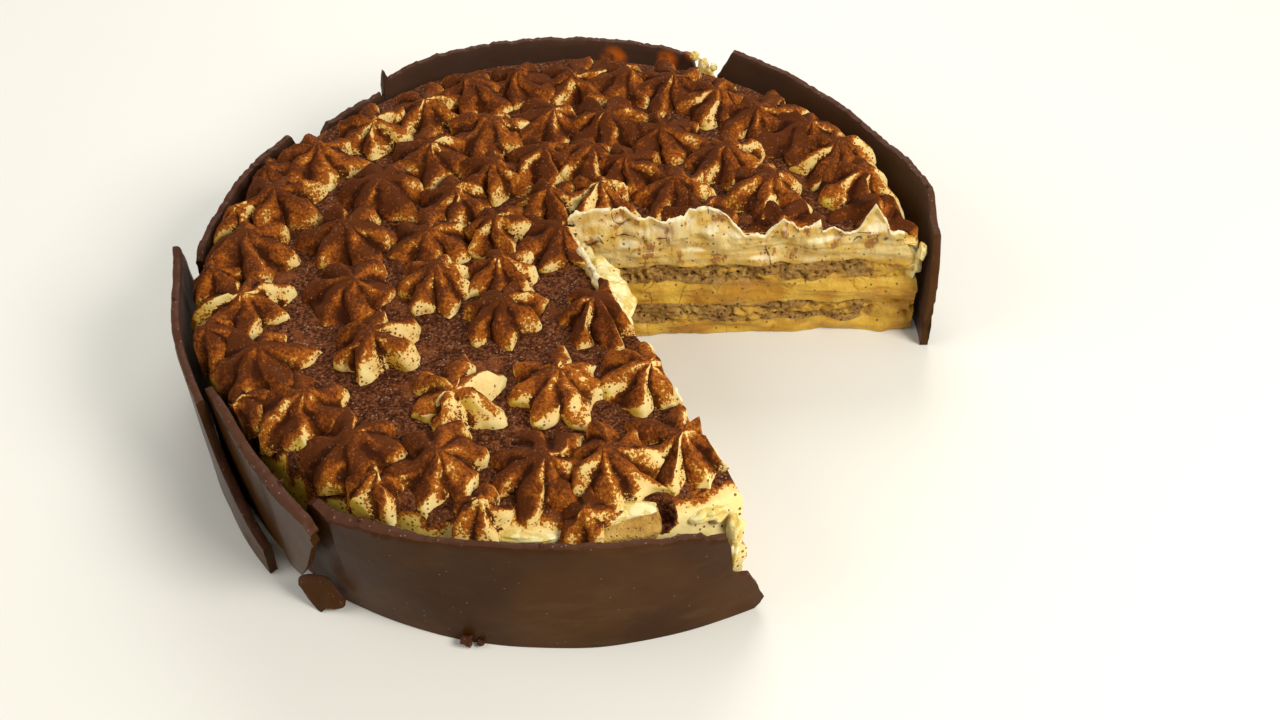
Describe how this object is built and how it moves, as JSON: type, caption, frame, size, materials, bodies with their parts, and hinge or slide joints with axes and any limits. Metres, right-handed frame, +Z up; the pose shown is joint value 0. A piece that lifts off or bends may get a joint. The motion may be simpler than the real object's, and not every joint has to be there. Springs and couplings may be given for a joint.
{
  "type": "tiramisu cake",
  "caption": "Round layered cream cake with a slice taken out: coffee sponge and cream layers, piped cream stars dusted with cocoa, broken dark chocolate panels round the side.",
  "frame": {"origin": "on the floor, in the middle of the box that the whole cake fills", "axes": "+Z up; -Y is the cake's front, seen in the picture; the slice's gap opens to the right front, between +X and the front"},
  "size_m": [0.202, 0.1983, 0.044],
  "materials": {
    "cream": "soft mascarpone cream, satin",
    "sponge": "coffee-soaked sponge, porous and matte",
    "dusted_cream": "cream under a dusting of cocoa powder, matte",
    "biscuit": "dry biscuit, matte",
    "chocolate": "set dark chocolate, soft sheen with bloom"
  },
  "bodies": {
    "root": {"cream_base": "cream", "sponge_lower": "sponge", "cream_middle": "cream", "sponge_upper": "sponge", "cream_top": "dusted_cream", "biscuit_end": "biscuit", "collar_back": "chocolate", "collar_right_back": "chocolate", "collar_left_back": "chocolate", "collar_left": "chocolate", "collar_left_front": "chocolate", "collar_chip": "chocolate", "collar_front": "chocolate"}
  },
  "joints": []
}
